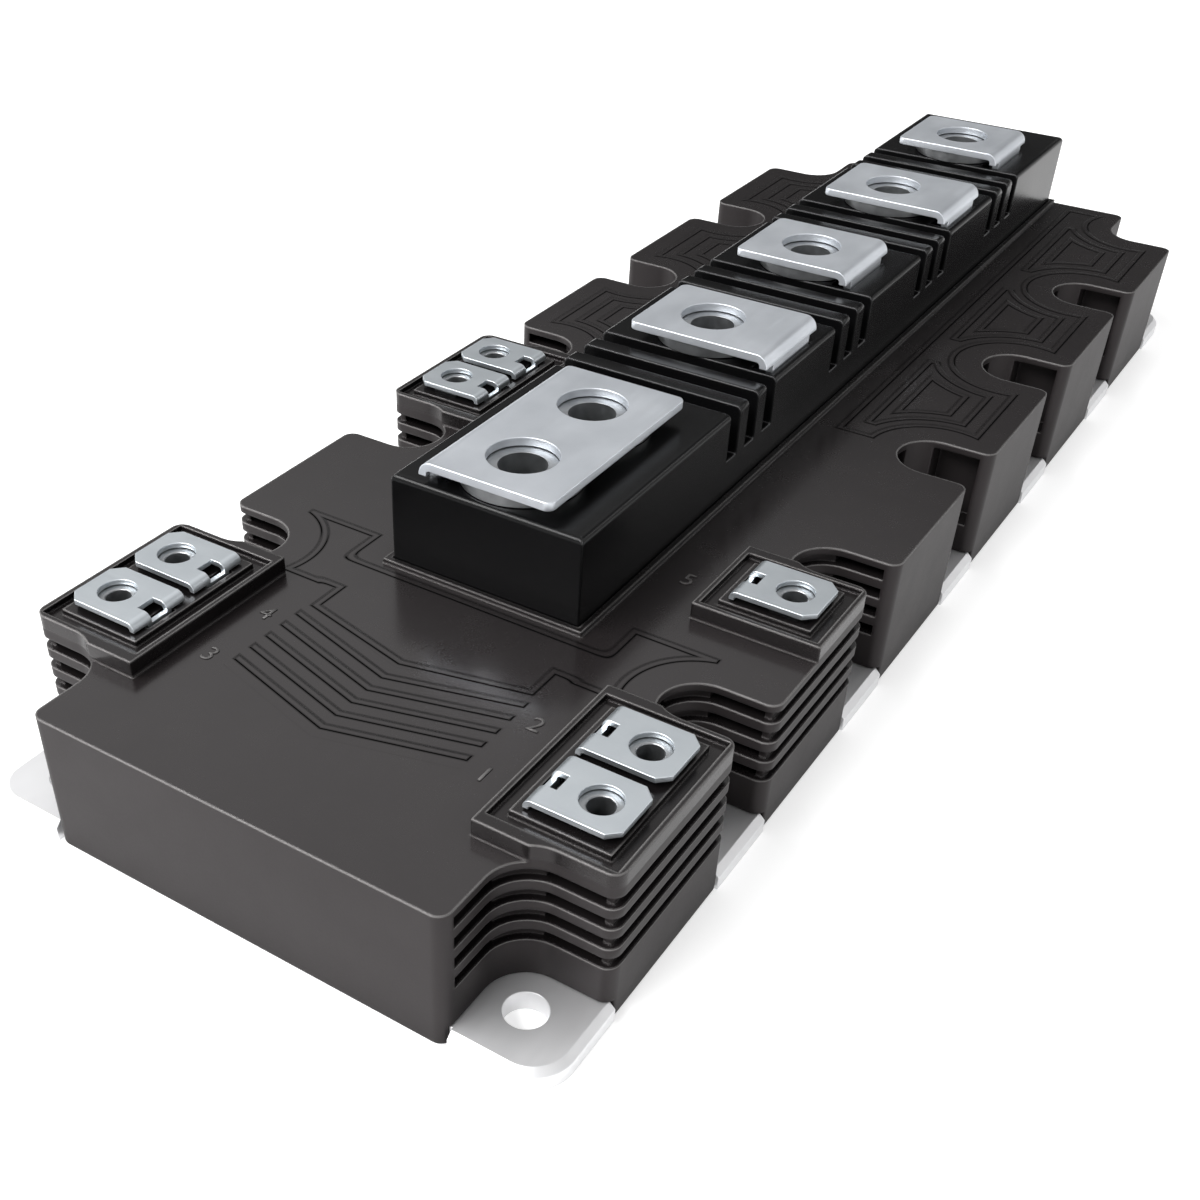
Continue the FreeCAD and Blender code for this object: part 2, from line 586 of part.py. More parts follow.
def terminal(name, x, half_length, line, sign):
    """Flat terminal over its nut, bent down at one side into a riser."""
    face = "%s%s" % ("-" if sign < 0 else "", line)
    back = "%s(%s - bar_sheet)" % ("-" if sign < 0 else "", line)
    free = "%sbar_inner" % ("" if sign < 0 else "-")
    body, sketch, pad = outline_body(
        name, "YZ_Plane",
        [(free, "power_level"), (face, "power_level"), (face, "rail_level + rail_height"),
         (back, "rail_level + rail_height"), (back, under_bar), (free, under_bar)],
        "%s - %s" % (x, half_length), "2 * " + half_length)
    outside = round_bends(body, sketch, pad, [1], "bend_outside")
    round_bends(body, sketch, outside, [4], "bend_inside")
    across = ("-bar_inner", line + " + 1") if sign > 0 else ("-%s - 1" % line, "bar_inner")
    die = slab(name + "_die", ("%s - %s" % (x, half_length), "%s + %s" % (x, half_length)), across,
               ("rail_level", "power_level + 1"))
    doc.recompute()
    edge = -sign * value("bar_inner")
    ends = upright_edges(die.Shape, lambda p: abs(p.y - edge) < 1e-3)
    rounded = dress("Part::Fillet", name + "_rounded_die", die, ends, value("bar_corner"))
    return common(name + "_shaped", [body, rounded])


def rail(label, face_line, sign, terminals, foot_x, foot_sign):
    """Strip, feet and terminals of one polarity."""
    outer = "%d * %s" % (sign, face_line)
    inner = "%d * (%s - bar_sheet)" % (sign, face_line)
    across = (inner, outer) if sign > 0 else (outer, inner)
    parts = [slab(label + "_strip", rail_x, across, ("rail_level", "rail_level + rail_height"))]
    for i, x in enumerate(foot_x):
        low = x + " - rail_foot / 2"
        high = x + " + rail_foot / 2"
        parts.append(slab("%s_leg_%d" % (label, i), (low, high), across, (track_level, "rail_level")))
        reach = "foot_length + bar_sheet"
        if foot_sign == sign:
            run = (inner, "%s + %s" % (inner, reach)) if sign > 0 else ("%s - (%s)" % (inner, reach), inner)
        else:
            run = (outer, "%s + %s" % (outer, reach)) if sign < 0 else ("%s - (%s)" % (outer, reach), outer)
        parts.append(slab("%s_foot_%d" % (label, i), (low, high), run, (track_level, track_level + " + 1")))
    trims = []
    for i, (x, half_length, holes) in enumerate(terminals):
        parts.append(terminal("%s_terminal_%d" % (label, i), x, half_length, face_line, sign))
        neck = "(%s - bar_length / 2 + riser_width / 2)" % half_length
        for tag, low, high in (("front", "%s - %s - 1" % (x, half_length), "%s - %s" % (x, neck)),
                               ("rear", "%s + %s" % (x, neck), "%s + %s + 1" % (x, half_length))):
            trims.append(slab("%s_neck_%s_%d" % (label, tag, i), (low, high),
                              (across[0] + " - fit", across[1] + " + fit"),
                              ("rail_level + rail_height", "power_level - bend_outside - fit")))
        for k, hole in enumerate(holes):
            trims.append(rod("%s_bore_%d_%d" % (label, i, k), hole, "0",
                             (under_bar + " - 1", "power_level + 1"), "bar_bore / 2"))
    publish(cut(label, fuse(label + "_blank", parts), fuse(label + "_trims", trims)), label)


plus_track = "(-tile_length / 2 + 1.5 * copper_margin)"
ac_track = "(%s + track_wide + copper_margin)" % plus_track
minus_track = "(%s + track_wide + copper_margin)" % ac_track
rail("ac_busbar", "ac_line", 1, [(ac_middle, "(ac_pitch / 2 + bar_length / 2)", ac_holes)],
     ["(%s + %s + track_wide / 2)" % (x, ac_track) for x in tile_x], 1)
single = "(bar_length / 2)"
rail("dc_plus_busbar", "plus_line", -1, [(dc_holes[i], single, [dc_holes[i]]) for i in (1, 3)],
     ["(%s + %s + track_wide / 2)" % (x, plus_track) for x in tile_x], 1)
rail("dc_minus_busbar", "minus_line", -1, [(dc_holes[i], single, [dc_holes[i]]) for i in (0, 2)],
     ["(%s + %s + track_narrow / 2)" % (x, minus_track) for x in tile_x], -1)

# Insulating strip between the two supply rails, which run close together to keep inductance low.
gap = ("-(minus_line - bar_sheet)", "-plus_line")
publish(slab("busbar_insulator", ("-rail_start - 1", "rail_finish + 1"), gap,
             ("rail_level - 1", "rail_level + rail_height + 1")), "busbar_insulator")

# Nuts. Loose in their pockets until the terminals are bent over them. The large ones rest on the
# block by their flanges.
large_nuts = []
for i, x in enumerate(power_holes):
    nut = fuse("large_blank_%d" % i,
               [hexagon("large_hex_%d" % i, x, "0", (large_nut_base, large_nut_top), "large_nut_flats"),
                rod("flange_%d" % i, x, "0", ("block_level + nut_sink", large_nut_top), "flange_radius")])
    large_nuts.append(cut("large_nut_%d" % i, nut,
                          rod("large_core_%d" % i, x, "0", ("0", "power_level"), "large_nut_bore / 2")))
publish(group("power_nuts", large_nuts), "power_nuts")
small_nuts = []
for number, (sign, x) in enumerate(aux_places, start=1):
    y = "%d * aux_row" % sign
    zone = (nut_top + " - small_nut_height", nut_top)
    small_nuts.append(cut("small_nut_%d" % number, hexagon("small_hex_%d" % number, x, y, zone,
                                                           "small_nut_flats"),
                          rod("small_core_%d" % number, x, y, ("0", "power_level"), "small_nut_bore / 2")))
publish(group("control_nuts", small_nuts), "control_nuts")

# Control terminals. Tinned strip: a flat tongue over the nut, a windowed bend, a narrow leg down
# the shaft and a foot soldered to the tile. Drawn round the hole, with the tongue towards -Y.
for number, (sign, x) in enumerate(aux_places, start=1):
    name = "control_terminal_%d" % number
    under = "(aux_level - aux_sheet)"
    back = "(aux_heel - aux_sheet)"
    body, sketch, pad = outline_body(
        name + "_strip", "YZ_Plane",
        [("-aux_reach", "aux_level"), ("aux_heel", "aux_level"), ("aux_heel", track_level + " + aux_sheet"),
         ("aux_heel + aux_foot", track_level + " + aux_sheet"), ("aux_heel + aux_foot", track_level),
         (back, track_level), (back, under), ("-aux_reach", under)],
        "-aux_width / 2", "aux_width")
    bent = round_bends(body, sketch, pad, [1], "1.5 * aux_sheet")
    round_bends(body, sketch, bent, [6], "aux_sheet / 2")
    shoulder = "(aux_level - 1.5 * aux_sheet - fit)"
    trims = [rod(name + "_bore", "0", "0", (under + " - 1", "aux_level + 1"), "aux_bore / 2"),
             slab(name + "_window", ("-aux_leg / 2 + aux_sheet", "aux_leg / 2 - aux_sheet"),
                  ("%s - 2 * aux_sheet" % back, "aux_heel + 1"), (shoulder, "aux_level + 1"))]
    for tag, low, high in (("a", "-aux_width", "-aux_leg / 2"), ("b", "aux_leg / 2", "aux_width")):
        trims.append(slab("%s_side_%s" % (name, tag), (low, high), ("%s - 1" % back, "width"),
                          ("0", shoulder)))
    strip = cut(name + "_cut", body, fuse(name + "_trims", trims))
    doc.recompute()
    tip = -value("aux_reach")
    half = value("aux_width") / 2
    tips = upright_edges(strip.Shape, lambda p: abs(p.y - tip) < 1e-3 and abs(abs(p.x) - half) < 1e-3)
    piece = dress("Part::Chamfer", name, strip, tips, value("aux_chamfer"))
    piece.Placement.Rotation = FreeCAD.Rotation(FreeCAD.Vector(0, 0, 1), 0 if sign < 0 else 180)
    piece.setExpression("Placement.Base.x", sized(x))
    piece.setExpression("Placement.Base.y", sized("%d * aux_row" % sign))
    publish(piece, name)

# Power circuit. Six ceramic tiles, copper on both faces, soldered to the plate. On each tile a
# supply track and an output track carry the chips, and wires cross to the next track.
tile_base = "(plate_thickness + copper_thickness)"
tile_top = "(%s + tile_thickness)" % tile_base
chip_top = "(%s + chip_thickness)" % track_level
backs = []
tiles = []
tracks = []
switches = []
diodes = []
# Each chip: kind, and its place as a share of the half track.
PLUS_CHIPS = (("switch", -0.748), ("diode", -0.038), ("switch", 0.387), ("diode", 0.807))
AC_CHIPS = (("switch", -0.769), ("switch", -0.265), ("diode", 0.160), ("diode", 0.845))
edge_pad = ("(track_half + copper_margin)", "(tile_width / 2 - copper_margin / 2)")
for i, x in enumerate(tile_x):
    span = (x + " - tile_length / 2", x + " + tile_length / 2")
    tiles.append(slab("tile_%d" % i, span, ("-tile_width / 2", "tile_width / 2"), (tile_base, tile_top)))
    backs.append(slab("back_%d" % i, (span[0] + " + copper_margin", span[1] + " - copper_margin"),
                      ("copper_margin - tile_width / 2", "tile_width / 2 - copper_margin"),
                      ("plate_thickness", tile_base)))
    zone = (tile_top, track_level)
    for tag, offset, size in (("plus", plus_track, "track_wide"), ("ac", ac_track, "track_wide"),
                              ("minus", minus_track, "track_narrow")):
        run = ("%s + %s" % (x, offset), "%s + %s + %s" % (x, offset, size))
        tracks.append(slab("track_%s_%d" % (tag, i), run, ("-track_half", "track_half"), zone))
    for strip, (offset, chips) in enumerate(((plus_track, PLUS_CHIPS), (ac_track, AC_CHIPS))):
        middle = "(%s + %s + track_wide / 2)" % (x, offset)
        for k, (kind, place) in enumerate(chips):
            side_length = "igbt_side" if kind == "switch" else "diode_side"
            half = "%s / 2" % side_length
            chip = slab("%s_%d_%d_%d" % (kind, i, strip, k),
                        ("%s - %s" % (middle, half), "%s + %s" % (middle, half)),
                        ("%s * track_half - %s" % (place, half), "%s * track_half + %s" % (place, half)),
                        (track_level, chip_top))
            (switches if kind == "switch" else diodes).append(chip)
for number, (sign, x) in enumerate(aux_places, start=1):
    across = edge_pad if sign > 0 else ("-" + edge_pad[1], "-" + edge_pad[0])
    run = (x + " - aux_leg / 2 - 1", x + " + aux_leg / 2 + 1")
    tracks.append(slab("signal_pad_%d" % number, run, across, (tile_top, track_level)))
publish(group("tile_backing", backs), "tile_backing")
publish(group("ceramic_tiles", tiles), "ceramic_tiles")
publish(group("copper_tracks", tracks), "copper_tracks")
publish(group("switch_chips", switches), "switch_chips")
publish(group("diode_chips", diodes), "diode_chips")

# Bond wires. A loop profile runs across each chip track of each tile, and a comb of thin slices
# at the chips leaves the single wires.
wire_sets = []
for strip, (offset, landing, chips) in enumerate(((plus_track, ac_track, PLUS_CHIPS),
                                                  (ac_track, minus_track, AC_CHIPS))):
    loops = []
    for i, x in enumerate(tile_x):
        start = "(%s + %s + track_wide / 2)" % (x, offset)
        finish = "(%s + %s + wire_side / 2)" % (x, landing)
        middle = "((%s + %s + wire_foot) / 2)" % (start, finish)
        crest = "(%s + wire_rise)" % track_level
        points = [(start, chip_top), (start + " + wire_foot", chip_top),
                  (middle, crest + " - wire_side"), (finish, track_level),
                  (finish + " + wire_foot", track_level), (middle, crest)]
        loops.append(outline_body("loop_%d_%d" % (strip, i), "XZ_Plane", points,
                                  "-track_half", "2 * track_half")[0])
    comb = []
    for k, (kind, place) in enumerate(chips):
        y = "(%s * track_half)" % place
        comb.append(slab("slice_%d_%d" % (strip, k), ("-length", "length"),
                         (y + " - wire_side / 2", y + " + wire_side / 2"), ("0", "deck_level")))
    wire_sets.append(common("wires_%d" % strip, [group("loops_%d" % strip, loops),
                                                 group("comb_%d" % strip, comb)]))
publish(group("bond_wires", wire_sets), "bond_wires")

# Temperature sensor. Soldered between the two pads of the last pair of control terminals.
sensor_x = "((%s + %s) / 2)" % (aux_places[-2][1], aux_places[-1][1])
sensor_y = ("(track_half + 2 * copper_margin)", "(track_half + 2 * copper_margin + sensor_width)")
pieces = [slab("sensor_body", ("%s - sensor_length / 2 + sensor_cap" % sensor_x,
                               "%s + sensor_length / 2 - sensor_cap" % sensor_x), sensor_y,
               (track_level + " + 0.1 * sensor_height", track_level + " + 0.9 * sensor_height"))]
for tag, low, high in (("front", "%s - sensor_length / 2", "%s - sensor_length / 2 + sensor_cap"),
                       ("rear", "%s + sensor_length / 2 - sensor_cap", "%s + sensor_length / 2")):
    pieces.append(slab("sensor_cap_" + tag, (low % sensor_x, high % sensor_x), sensor_y,
                       (track_level, track_level + " + sensor_height")))
publish(fuse("temperature_sensor", pieces), "temperature_sensor")

doc.recompute()
for obj in doc.Objects:
    broken = [state for state in obj.State if state in ("Invalid", "Error")]
    if broken:
        raise RuntimeError("%s: %s" % (obj.Name, broken))
os.makedirs("parts", exist_ok=True)
for obj in sub_parts:
    if obj.Shape.isNull() or not obj.Shape.isValid():
        raise RuntimeError("%s has no valid shape" % obj.Label)
    obj.Shape.exportStep("parts/%s.step" % obj.Label)
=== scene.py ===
import math

import bmesh
import bpy
from mathutils import Matrix, Vector


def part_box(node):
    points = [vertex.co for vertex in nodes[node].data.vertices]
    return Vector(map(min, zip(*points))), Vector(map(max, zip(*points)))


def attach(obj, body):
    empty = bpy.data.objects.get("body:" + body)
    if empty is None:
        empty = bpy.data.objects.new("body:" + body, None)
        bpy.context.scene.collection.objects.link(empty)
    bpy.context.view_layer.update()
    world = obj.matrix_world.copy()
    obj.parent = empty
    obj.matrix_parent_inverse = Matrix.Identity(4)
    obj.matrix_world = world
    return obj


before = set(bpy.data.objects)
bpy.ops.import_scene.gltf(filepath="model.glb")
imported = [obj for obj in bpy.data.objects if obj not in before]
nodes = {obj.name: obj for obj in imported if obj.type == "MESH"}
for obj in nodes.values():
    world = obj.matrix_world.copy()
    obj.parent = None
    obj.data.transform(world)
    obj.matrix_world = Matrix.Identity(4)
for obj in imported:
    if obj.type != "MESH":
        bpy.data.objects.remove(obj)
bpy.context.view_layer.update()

# Baseplate. A 3 mm copper plate, punched to shape and then plated with dull nickel. It spreads
# the chips' heat, and fourteen screws through its lugs clamp it to the heatsink.
MM = 0.001


class Field:
    """A shader socket that takes part in sums."""

    def __init__(self, shading, socket):
        self.shading = shading
        self.socket = socket

    def _math(self, operation, first, second):
        return self.shading.node("ShaderNodeMath", {"operation": operation}, {0: first, 1: second})

    def __add__(self, other):
        return self._math("ADD", self, other)

    __radd__ = __add__

    def __sub__(self, other):
        return self._math("SUBTRACT", self, other)

    def __rsub__(self, other):
        return self._math("SUBTRACT", other, self)

    def __mul__(self, other):
        return self._math("MULTIPLY", self, other)

    __rmul__ = __mul__

    def __abs__(self):
        return self.shading.calculate("ABSOLUTE", self)


class Shading:
    """The nodes of a material or of the sky, and the shader that they feed."""

    def __init__(self, tree, shader):
        self.tree = tree
        self.shader = tree.nodes[shader]

    def node(self, kind, settings=None, values=None, output=0):
        """Add a node: its settings first, then the values or links of its sockets."""
        made = self.tree.nodes.new(kind)
        for name, value in (settings or {}).items():
            if name == "stops":
                ramp = made.color_ramp.elements
                while len(ramp) < len(value):
                    ramp.new(0.5)
                for stop, (position, shade) in zip(ramp, value):
                    stop.position = position
                    stop.color = (shade, shade, shade, 1)
            else:
                setattr(made, name, value)
        for name, value in (values or {}).items():
            if isinstance(value, Field):
                self.tree.links.new(value.socket, made.inputs[name])
            else:
                made.inputs[name].default_value = value
        return Field(self, made.outputs[output])

    def feed(self, socket, field):
        self.tree.links.new(field.socket, self.shader.inputs[socket])

    def calculate(self, operation, first, second=0.0, third=0.0):
        """Maximum, minimum, root and the like of numbers or fields."""
        return self.node("ShaderNodeMath", {"operation": operation}, {0: first, 1: second, 2: third})

    def fade(self, field, start, end, before=0.0, after=1.0, smooth=False):
        """Number that goes from one value to another while the field goes from start to end."""
        return self.node("ShaderNodeMapRange", {"interpolation_type": "SMOOTHSTEP" if smooth else "LINEAR"},
                         {0: field, 1: start, 2: end, 3: before, 4: after})

    def ramp(self, field, *stops):
        """Grey that follows a field through stops of position and brightness."""
        return self.node("ShaderNodeValToRGB", {"stops": stops}, {"Fac": field})

    def blend(self, factor, first, second):
        """Colour between two colours."""
        return self.node("ShaderNodeMix", {"data_type": "RGBA"}, {0: factor, 6: first, 7: second}, 2)

    def part(self, vector, axis):
        """The X, Y or Z of a vector."""
        return self.node("ShaderNodeSeparateXYZ", {}, {0: vector}, axis)


class Finish(Shading):
    """A material under construction, with the object's own coordinates in metres."""

    def __init__(self, name, **constants):
        self.material = bpy.data.materials.new(name)
        self.material.use_nodes = True
        super().__init__(self.material.node_tree, "Principled BSDF")
        for socket, value in constants.items():
            self.shader.inputs[socket.replace("_", " ")].default_value = value
        self.place = self.node("ShaderNodeTexCoord", output="Object")

    def noise(self, size, detail=2.0, stretch=(1, 1, 1), roughness=0.5):
        """Noise whose grains are about the given size in metres."""
        scaled = self.node("ShaderNodeVectorMath", {"operation": "MULTIPLY"},
                           {0: self.place, 1: [axis / size for axis in stretch]})
        return self.node("ShaderNodeTexNoise", {}, {"Vector": scaled, "Scale": 1.0, "Detail": detail,
                                                    "Roughness": roughness}, "Fac")

    def bump(self, height, depth, strength=1.0, under=None):
        """Normals of a relief of the given depth in metres, on top of other normals if there are any."""
        values = {"Height": height, "Distance": depth, "Strength": strength}
        if under is not None:
            values["Normal"] = under
        return self.node("ShaderNodeBump", {}, values)


def colour(red, green, blue):
    return (red, green, blue, 1.0)


def dress(names, finish, edge, segments=2, angle=35.0):
    """Give CAD nodes their finish, and round their edges by a small real radius in metres."""
    for name in names:
        piece = nodes[name]
        piece.data.materials.clear()
        piece.data.materials.append(finish.material)
        piece.data.shade_smooth()
        weld = piece.modifiers.new("weld", "WELD")
        weld.merge_threshold = 0.001 * MM
        merge = piece.modifiers.new("merge", "DECIMATE")
        merge.decimate_type = "DISSOLVE"
        merge.angle_limit = math.radians(0.5)
        bevel = piece.modifiers.new("edges", "BEVEL")
        bevel.width = edge
        bevel.segments = segments
        bevel.limit_method = "ANGLE"
        bevel.angle_limit = math.radians(angle)
        bevel.use_clamp_overlap = True
        flat = piece.modifiers.new("flat_faces", "WEIGHTED_NORMAL")
        flat.weight = 100


nickel = Finish("nickel_plate", Metallic=0.72, Specular_IOR_Level=0.5)
clouds = nickel.noise(22 * MM, 4.0)
grain = nickel.noise(0.9 * MM, 2.0, (0.06, 1, 1))
nickel.feed("Base Color", nickel.blend(nickel.ramp(clouds, (0.3, 0.0), (0.7, 1.0)),
                                       colour(0.68, 0.68, 0.69), colour(0.80, 0.80, 0.81)))
nickel.feed("Roughness", 0.38 + 0.10 * grain + 0.08 * clouds)
nickel.feed("Normal", nickel.bump(grain, 0.004 * MM))
dress(["baseplate"], nickel, 0.12 * MM)

# Ceramic tiles. Fired white ceramic with copper bonded to both faces, soldered to the plate. The
# upper copper is etched into the tracks that carry the chips.
ceramic = Finish("fired_ceramic", Roughness=0.55)
speck = ceramic.noise(1.2 * MM, 3.0)
ceramic.feed("Base Color", ceramic.blend(speck, colour(0.80, 0.79, 0.75), colour(0.90, 0.89, 0.86)))
ceramic.feed("Normal", ceramic.bump(ceramic.noise(0.4 * MM), 0.01 * MM))
dress(["ceramic_tiles"], ceramic, 0.05 * MM, 1)

copper = Finish("bonded_copper", Metallic=1.0)
stain = copper.noise(6 * MM, 5.0)
copper.feed("Base Color", copper.blend(copper.ramp(stain, (0.35, 0.0), (0.75, 1.0)),
                                       colour(0.80, 0.42, 0.27), colour(0.60, 0.30, 0.20)))
copper.feed("Roughness", 0.28 + 0.25 * stain)
copper.feed("Normal", copper.bump(copper.noise(0.5 * MM), 0.006 * MM))
dress(["tile_backing", "copper_tracks"], copper, 0.04 * MM, 1)

# Chips. Switches and diodes of silicon, sawn square and soldered to the copper tracks. Their
# upper faces have a thin coat of aluminium that takes the bond wires.
silicon = Finish("metallised_silicon", Metallic=0.9)
film = silicon.noise(4 * MM, 2.0)
silicon.feed("Base Color", silicon.blend(film, colour(0.42, 0.44, 0.49), colour(0.56, 0.58, 0.62)))
silicon.feed("Roughness", 0.22 + 0.12 * film)
dress(["switch_chips", "diode_chips"], silicon, 0.02 * MM, 1)

# Bond wires. Loops of drawn aluminium, whose feet are pressed on to the chips and on to the
# next track by ultrasound.
aluminium = Finish("drawn_aluminium", Metallic=1.0)
draw = aluminium.noise(0.6 * MM, 2.0, (0.1, 1, 1))
aluminium.feed("Base Color", aluminium.blend(draw, colour(0.78, 0.79, 0.80), colour(0.88, 0.89, 0.90)))
aluminium.feed("Roughness", 0.25 + 0.15 * draw)
dress(["bond_wires"], aluminium, 0.10 * MM, 1, 60.0)

# Temperature sensor. A ceramic rod between two caps, soldered to its own pads. It is so small
# that one dark greenish finish covers rod and caps.
rod = Finish("sensor_rod", Roughness=0.4)
glaze = rod.noise(1 * MM, 2.0)
rod.feed("Base Color", rod.blend(glaze, colour(0.10, 0.14, 0.10), colour(0.16, 0.20, 0.15)))
dress(["temperature_sensor"], rod, 0.08 * MM, 1)

# Housing. One glass-filled moulding, dark warm grey, from a polished and lightly eroded tool. It
# is glued to the plate, and holds the control terminals in sockets at its sides. Fine ribs on
# its deck frame the screw notches, and make a bow and five chevrons in front of the block.


class Moulding(Finish):
    """The finish of a moulding, with painted highlights on its upward edges and painted shade where light
    hardly reaches.
    """

    EDGE_TURN = (0.99, 0.88)
    EDGE_LIFT = (0.15, 0.5)

    def millimetres(self, axis):
        """The object's own X, Y or Z in millimetres."""
        scaled = self.node("ShaderNodeVectorMath", {"operation": "SCALE"}, {0: self.place, "Scale": 1 / MM})
        return self.part(scaled, axis)

    def likeness(self, first, second):
        """How well two directions agree: 1 where they are the same, 0 where they are square."""
        return self.node("ShaderNodeVectorMath", {"operation": "DOT_PRODUCT"},
                         {0: first, 1: second}, "Value")

    def wear(self, radius):
        """How far a place is on the rounding of an edge that faces up, which masks a painted highlight,
        with the rounded normals.
        """
        turned = self.node("ShaderNodeBevel", {"samples": 6}, {"Radius": radius})
        true = self.node("ShaderNodeNewGeometry", output="True Normal")
        on_edge = self.fade(self.likeness(turned, true), *self.EDGE_TURN, smooth=True)
        upward = self.fade(self.part(turned, "Z"), *self.EDGE_LIFT)
        return on_edge * upward, turned

    def hide(self, factor, shade):
        """Painted shade: let a dull dark surface take over where light hardly reaches."""
        dull = self.node("ShaderNodeBsdfPrincipled", {}, {"Base Color": shade, "Roughness": 1.0,
                                                          "Specular IOR Level": 0.0})
        lit = Field(self, self.shader.outputs[0])
        both = self.node("ShaderNodeMixShader", {}, {0: factor, 1: lit, 2: dull})
        self.tree.links.new(both.socket, self.tree.nodes["Material Output"].inputs["Surface"])


moulding = Moulding("housing_moulding", Specular_IOR_Level=0.30, Specular_Tint=colour(1.0, 0.93, 0.94),
                    IOR=1.5, Coat_Roughness=0.17, Coat_IOR=1.5)
along = moulding.millimetres("X")
across = abs(moulding.millimetres("Y"))
level = moulding.millimetres("Z")


def most(*fields):
    """Largest of several numbers: the common area of several outlines."""
    result = fields[0]
    for field in fields[1:]:
        result = moulding.calculate("MAXIMUM", result, field)
    return result


def least(*fields):
    """Smallest of several numbers: the areas of several outlines together."""
    result = fields[0]
    for field in fields[1:]:
        result = moulding.calculate("MINIMUM", result, field)
    return result


# The screw holes, and the distances to the nearest one. The named sizes of this section are in
# millimetres, and an outline is a distance that is below zero inside and zero at the edge.
HOLE_PITCH = 39.0
HOLE_ROW = 36.5
HOLE_RIM = 10.4
to_hole = moulding.calculate("PINGPONG", along, HOLE_PITCH / 2)
off_row = across - HOLE_ROW
from_hole = moulding.calculate("SQRT", to_hole * to_hole + off_row * off_row)


def panel(inner_row, outer_row, clearance):
    """Outline of the deck between two rows and clear of the holes."""
    return most(inner_row - across, across - outer_row, clearance - from_hole)


# Three frames, one inside the other, on the rear half of the deck.
FRAME_START = 0.8
FRAME_END = 122.2
MIDDLE_CLEAR = 5.2
rear_gaps = most(0.0 - along, along - 3 * HOLE_PITCH)
outer_frame = most(FRAME_START - along, along - FRAME_END,
                   panel(inner_row=19.7, outer_row=40.15, clearance=HOLE_RIM))
middle_frame = most(rear_gaps, MIDDLE_CLEAR - to_hole,
                    panel(inner_row=22.7, outer_row=36.9, clearance=12.9))
inner_frame = most(rear_gaps, panel(inner_row=25.3, outer_row=33.65, clearance=15.4))

# The bow: a body with a slanting front, and an arm to each side, which widens to the back.
BOW_HOLE = -2 * HOLE_PITCH
BOW_TIP = -13.1
BOW_SLOPE = 0.233
ARM_FRONT = -3.7
ARM_BACK = 3.85
WING_BACK = 10.8
BODY_ROW = 17.7
WING_ROW = 20.8
ARM_END = 33.5
ARM_FILLET = 2.5
from_bow = along - BOW_HOLE
slant = (BOW_TIP + BOW_SLOPE * across - from_bow) * (1 / math.hypot(1, BOW_SLOPE))
body = most(slant, from_bow - ARM_BACK, across - BODY_ROW)
arm = most(ARM_FRONT - from_bow, from_bow - ARM_BACK, across - ARM_END)
wing = most(ARM_FRONT - from_bow, from_bow - WING_BACK, WING_ROW - across, across - ARM_END)
winged_arm = moulding.calculate("SMOOTH_MIN", arm, wing, ARM_FILLET)
bow = most(least(body, winged_arm), HOLE_RIM - from_hole)

# The chevrons follow one another in front of the bow's tip. Their row ends half a pitch beyond
# the first and the last.
CHEVRONS = 5
CHEVRON_SLOPE = 0.2756
CHEVRON_PITCH = 3.08
CHEVRON_ROW = 17.6
ROW_STOP = 3.0
step = (from_bow - BOW_TIP - CHEVRON_SLOPE * across) * (1 / CHEVRON_PITCH)
to_chevron = CHEVRON_PITCH / math.hypot(1, CHEVRON_SLOPE) * moulding.calculate("PINGPONG", step, 0.5)
chevrons = most(to_chevron, ROW_STOP * (step + 0.5), ROW_STOP * (-(CHEVRONS + 0.5) - step),
                across - CHEVRON_ROW)

# A rib lies just inside its outline. It is raised on the deck only, and its flanks get painted
# shade, darkest on the flanks that face the front.
DECK = 21.0
DECK_BAND = 0.2
RIB_HALF = 0.5
RIB_TOP = 0.38
RIB_FOOT = 0.60
RIB_HEIGHT = 0.25
FULL_SHADE = 0.16
NO_SHADE = 0.34
TOWARDS_FRONT = (-0.84, -0.54, 0.0)
to_rib = least(abs(outer_frame + RIB_HALF), abs(middle_frame + RIB_HALF), abs(inner_frame + RIB_HALF),
               abs(bow + RIB_HALF), chevrons)
on_deck = moulding.calculate("LESS_THAN", abs(level - DECK), DECK_BAND)
rib = on_deck * moulding.fade(to_rib, RIB_TOP, RIB_FOOT, 1.0, 0.0, smooth=True)
flank = on_deck * moulding.fade(abs(to_rib - RIB_HALF), FULL_SHADE, NO_SHADE, 1.0, 0.0, smooth=True)
slope = moulding.bump(rib, RIB_HEIGHT * MM)
frontal = moulding.fade(moulding.likeness(slope, TOWARDS_FRONT), -0.05, 0.1, 0.12, 1.0)
shade = flank * frontal


def grey(brightness):
    return colour(brightness, brightness, brightness)


# The tool is polished where a face looks up and eroded elsewhere. Edges that face up in the open
# get a painted highlight, and hollows get painted shade.
facing = moulding.part(moulding.node("ShaderNodeTexCoord", output="Normal"), "Z")
polish = moulding.fade(facing, 0.1, 0.6, smooth=True)
raised = moulding.fade(level, DECK + 0.2, DECK + 0.5)
open_air = moulding.node("ShaderNodeAmbientOcclusion", {"samples": 6}, {"Distance": 9 * MM}, "AO")
hollow_shade = 1.0 - open_air
flow = moulding.noise(30 * MM, 4.0)
erosion = moulding.noise(0.35 * MM, 3.0)
handling = moulding.noise(7 * MM, 5.0, roughness=0.65)
edge, turned = moulding.wear(0.55 * MM)
painted_edge_highlight = edge * moulding.fade(open_air, 0.45, 0.85)
plain = moulding.blend(flow, colour(0.0096, 0.0080, 0.0083), colour(0.0128, 0.0108, 0.0111))
toned = moulding.blend(0.5 * raised, plain, grey(0.0015))
